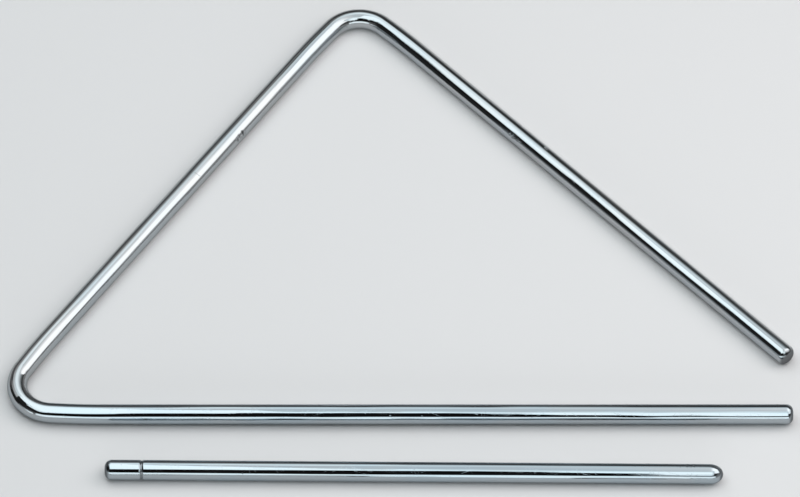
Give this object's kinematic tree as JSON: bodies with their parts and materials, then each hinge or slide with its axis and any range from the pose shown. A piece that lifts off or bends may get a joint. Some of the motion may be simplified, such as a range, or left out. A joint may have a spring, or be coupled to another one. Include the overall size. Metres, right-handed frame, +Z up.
{
  "type": "triangle instrument",
  "caption": "Open triangle bent from a plated steel rod, with a loose rounded rod beater lying beside it; it hangs by its apex and rings when a leg is struck.",
  "frame": {"origin": "middle of the pair's box, on the table that both rods lie on", "axes": "+X along the base leg towards its free end, +Y towards the apex, +Z up from the table"},
  "size_m": [0.3108, 0.2427, 0.008],
  "materials": {
    "bar_plating": "bright plating with light handling marks",
    "beater_plating": "bright plating with light handling marks"
  },
  "bodies": {
    "bar": {"triangle_bar": "bar_plating"},
    "beater": {"beater": "beater_plating"}
  },
  "joints": [
    {"name": "beater_lift", "type": "slide", "parent": "bar", "child": "beater", "axis": [0, 0, 1], "range_m": [0, 0.12]}
  ]
}
